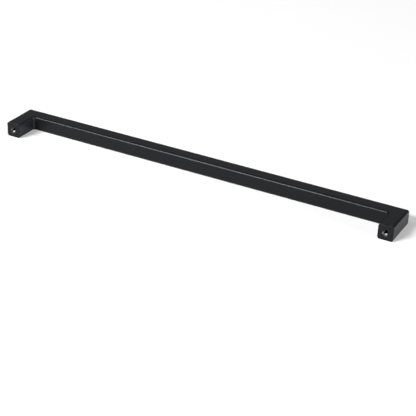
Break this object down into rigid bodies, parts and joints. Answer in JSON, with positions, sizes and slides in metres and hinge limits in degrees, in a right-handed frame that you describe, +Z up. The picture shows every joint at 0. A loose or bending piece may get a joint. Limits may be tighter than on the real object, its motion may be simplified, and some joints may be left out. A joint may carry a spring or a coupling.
{
  "type": "cabinet handle",
  "caption": "Long square-bar cabinet handle with a leg at each end, tapped for screws through a door or drawer front, matte black.",
  "frame": {"origin": "midway between the two screw holes, in the plane of the legs' ends where the handle meets the drawer or door front", "axes": "+X along the bar, +Y out of the front towards the hand, +Z up across the bar's section"},
  "size_m": [0.332, 0.032, 0.012],
  "materials": {
    "black_powder_coat": "matte black powder coat"
  },
  "bodies": {
    "root": {"handle": "black_powder_coat"}
  },
  "joints": []
}
